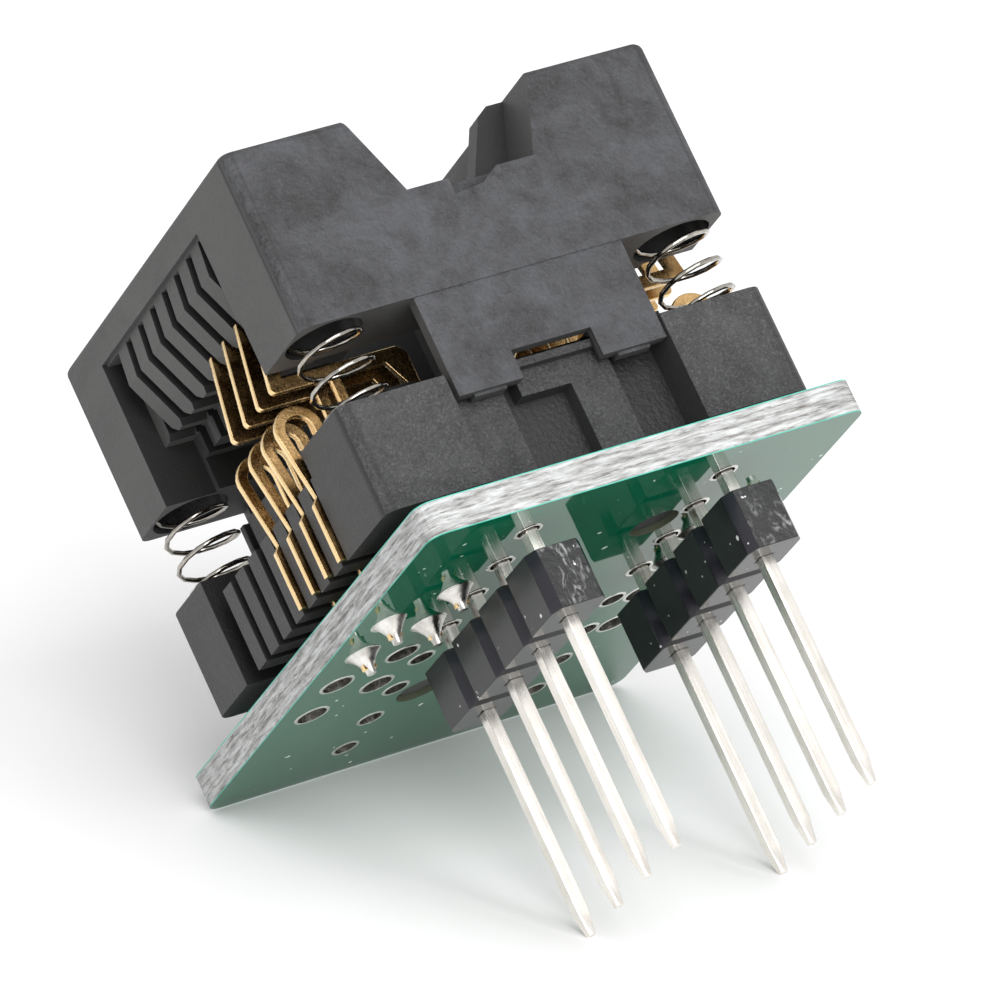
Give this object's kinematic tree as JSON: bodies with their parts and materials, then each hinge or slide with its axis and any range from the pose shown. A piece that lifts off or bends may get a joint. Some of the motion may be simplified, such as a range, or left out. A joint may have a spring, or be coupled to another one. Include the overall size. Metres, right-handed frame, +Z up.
{
  "type": "ic programming adapter",
  "caption": "Open-top test socket with a sprung push-down cover and bent spring contacts, on a small circuit board with two rows of square header pins.",
  "frame": {"origin": "middle of the pin field, on the underside of the two header strips", "axes": "+Z up from the pins to the cover, +Y along the rows from the pin end to the empty end, +X across the rows"},
  "size_m": [0.0174, 0.0226, 0.0271],
  "materials": {
    "board_green": "glossy green solder mask on glass fibre laminate with a whitish sawn edge",
    "header_plastic": "black moulded plastic with rough snapped ends",
    "base_plastic": "black glass-filled plastic with a coarse eroded end face",
    "cover_plastic": "charcoal glass-filled plastic with faint flow marks",
    "pin_metal": "tin plated square wire",
    "contact_gold": "gold plated stamped spring strip",
    "solder": "dull solder fillets",
    "spring_steel": "bright drawn wire"
  },
  "bodies": {
    "adapter": {"circuit_board": "board_green", "header_strip_left": "header_plastic", "header_strip_right": "header_plastic", "socket_base": "base_plastic", "header_pin_left_1": "pin_metal", "header_pin_left_2": "pin_metal", "header_pin_left_3": "pin_metal", "header_pin_left_4": "pin_metal", "header_pin_right_1": "pin_metal", "header_pin_right_2": "pin_metal", "header_pin_right_3": "pin_metal", "header_pin_right_4": "pin_metal", "contact_left_1": "contact_gold", "contact_left_2": "contact_gold", "contact_left_3": "contact_gold", "contact_left_4": "contact_gold", "contact_right_1": "contact_gold", "contact_right_2": "contact_gold", "contact_right_3": "contact_gold", "contact_right_4": "contact_gold", "pin_solder_left_1": "solder", "pin_solder_left_2": "solder", "pin_solder_left_3": "solder", "pin_solder_left_4": "solder", "pin_solder_right_1": "solder", "pin_solder_right_2": "solder", "pin_solder_right_3": "solder", "pin_solder_right_4": "solder", "tail_solder_left_1": "solder", "tail_solder_left_2": "solder", "tail_solder_left_3": "solder", "tail_solder_left_4": "solder", "tail_solder_right_1": "solder", "tail_solder_right_2": "solder", "tail_solder_right_3": "solder", "tail_solder_right_4": "solder", "return_spring_near_left": "spring_steel", "return_spring_near_right": "spring_steel", "return_spring_far_left": "spring_steel", "return_spring_far_right": "spring_steel"},
    "cover": {"actuator_cover": "cover_plastic"}
  },
  "joints": [
    {"name": "cover_slide", "type": "slide", "parent": "adapter", "child": "cover", "axis": [0, 0, -1], "range_m": [0, 0.0025], "stiffness_N_per_m": 300, "springref_m": -0.004, "deforming": ["return_spring_near_left", "return_spring_near_right", "return_spring_far_left", "return_spring_far_right"]}
  ]
}
